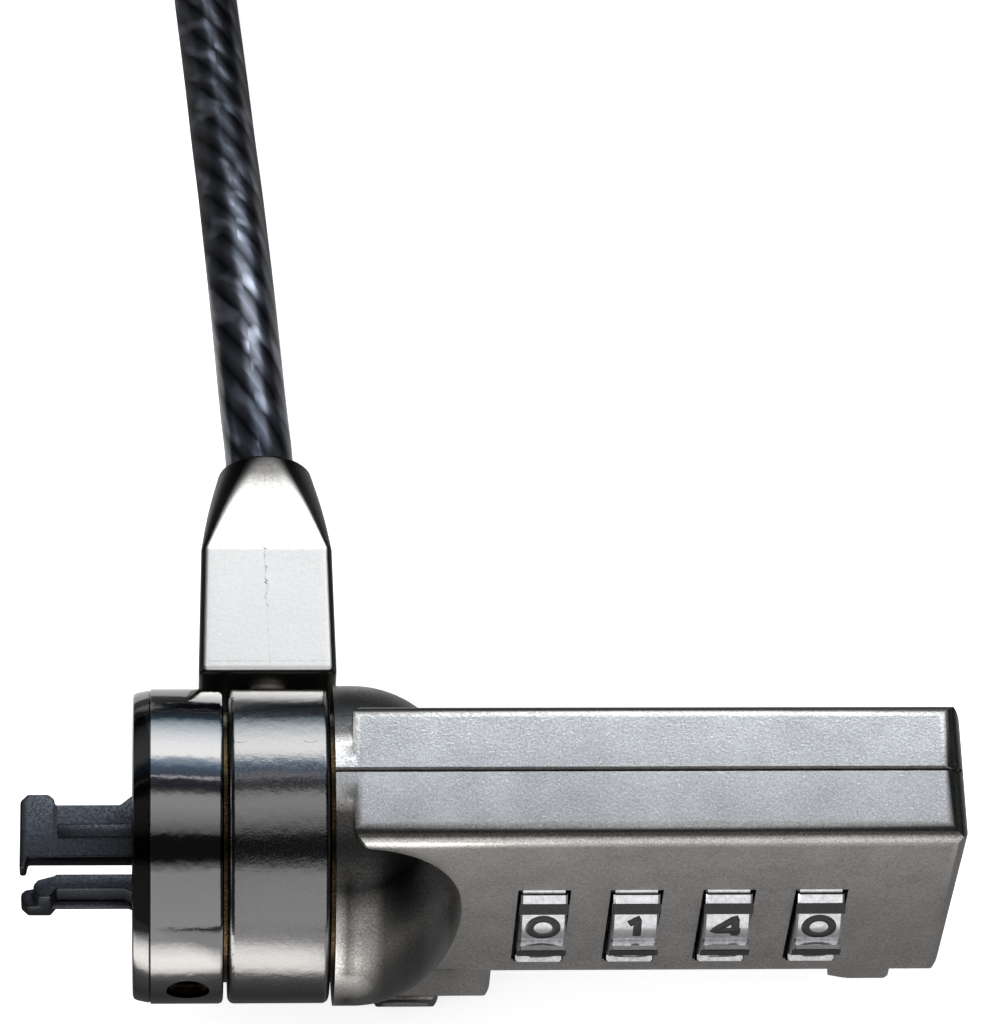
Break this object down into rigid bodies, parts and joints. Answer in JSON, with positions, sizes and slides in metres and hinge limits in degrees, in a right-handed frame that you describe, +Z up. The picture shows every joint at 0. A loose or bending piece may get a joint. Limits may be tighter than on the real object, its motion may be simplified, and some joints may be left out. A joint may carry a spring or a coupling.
{
  "type": "laptop cable lock",
  "caption": "Combination laptop cable lock: a bar with dial wheels, a swivel ring with the cable ferrule, slot hooks at the nose, a release nub and a coiled steel cable with an end eye.",
  "frame": {"origin": "centre of the nose face, on the head axis", "axes": "+X along the head axis from the nose to the free end of the bar, +Y the way the cable leaves, +Z up, away from the release nub; the dials face -Y"},
  "size_m": [0.0843, 0.1756, 0.0285],
  "materials": {
    "body_metal": "satin zinc alloy with a fine cast speckle",
    "ring_metal": "glossy black nickel plating with slight orange peel",
    "barrel_metal": "dark satin metal",
    "brass": "bare brass",
    "ferrule_metal": "satin nickel, near white",
    "hook_metal": "blackened steel, fine speckle",
    "pin_steel": "plain steel",
    "spring_steel": "bright spring steel",
    "slide_metal": "satin zinc alloy",
    "dial_metal": "bright nickel with black filled digits",
    "hub_metal": "plain zinc alloy",
    "cable_jacket": "glossy clear black vinyl over twisted steel wire"
  },
  "bodies": {
    "housing": {"front_housing": "body_metal", "rear_housing": "body_metal", "core_barrel": "barrel_metal", "nose_ring": "ring_metal", "nose_set_screw": "brass", "front_washer": "brass", "rear_washer": "brass", "fixed_hook": "hook_metal", "hook_pivot_pin": "pin_steel", "hook_anchor_pin_a": "pin_steel", "hook_anchor_pin_b": "pin_steel", "release_spring": "spring_steel", "detent_spring": "spring_steel", "locating_pin_a": "pin_steel", "locating_pin_b": "pin_steel", "locating_pin_c": "pin_steel"},
    "swivel": {"swivel_ring": "ring_metal", "cable_ferrule": "ferrule_metal", "cable_run": "cable_jacket", "cable_coil": "cable_jacket", "loop_sleeve": "ferrule_metal", "end_loop": "cable_jacket"},
    "release": {"release_slide": "slide_metal", "slide_carrier": "barrel_metal", "lock_spindle": "pin_steel", "spring_collar": "pin_steel", "hook_driver": "pin_steel"},
    "moving_hook_body": {"moving_hook": "hook_metal"},
    "dial_1_body": {"dial_1": "dial_metal", "dial_hub_1": "hub_metal"},
    "dial_2_body": {"dial_2": "dial_metal", "dial_hub_2": "hub_metal"},
    "dial_3_body": {"dial_3": "dial_metal", "dial_hub_3": "hub_metal"},
    "dial_4_body": {"dial_4": "dial_metal", "dial_hub_4": "hub_metal"},
    "reset_screw_body": {"reset_screw": "pin_steel"}
  },
  "joints": [
    {"name": "cable_swivel", "type": "hinge", "parent": "housing", "child": "swivel", "pos_m": [0.0103, 0, 0], "axis": [1, 0, 0], "continuous": true},
    {"name": "release_slide", "type": "slide", "parent": "housing", "child": "release", "axis": [1, 0, 0], "range_m": [0, 0.003], "stiffness_N_per_m": 400, "springref_m": -0.002, "deforming": ["release_spring"]},
    {"name": "hook_pivot", "type": "hinge", "parent": "housing", "child": "moving_hook_body", "pos_m": [0.0126, -0.003, 0], "axis": [0, 0, 1], "range_deg": [-4.2, 0]},
    {"name": "dial_1_turn", "type": "hinge", "parent": "housing", "child": "dial_1_body", "pos_m": [0.02905, 0, -0.0019], "axis": [1, 0, 0], "continuous": true, "deforming": ["detent_spring"]},
    {"name": "dial_2_turn", "type": "hinge", "parent": "housing", "child": "dial_2_body", "pos_m": [0.0356, 0, -0.0019], "axis": [1, 0, 0], "continuous": true, "deforming": ["detent_spring"]},
    {"name": "dial_3_turn", "type": "hinge", "parent": "housing", "child": "dial_3_body", "pos_m": [0.04215, 0, -0.0019], "axis": [1, 0, 0], "continuous": true, "deforming": ["detent_spring"]},
    {"name": "dial_4_turn", "type": "hinge", "parent": "housing", "child": "dial_4_body", "pos_m": [0.0487, 0, -0.0019], "axis": [1, 0, 0], "continuous": true, "deforming": ["detent_spring"]},
    {"name": "reset_screw_turn", "type": "hinge", "parent": "housing", "child": "reset_screw_body", "pos_m": [0.0526, 0, -0.009], "axis": [0, 0, 1], "range_deg": [0, 90]}
  ],
  "couplings": [
    {"joint": "hook_pivot", "follows": "release_slide", "rad_per_m": -22.69}
  ]
}
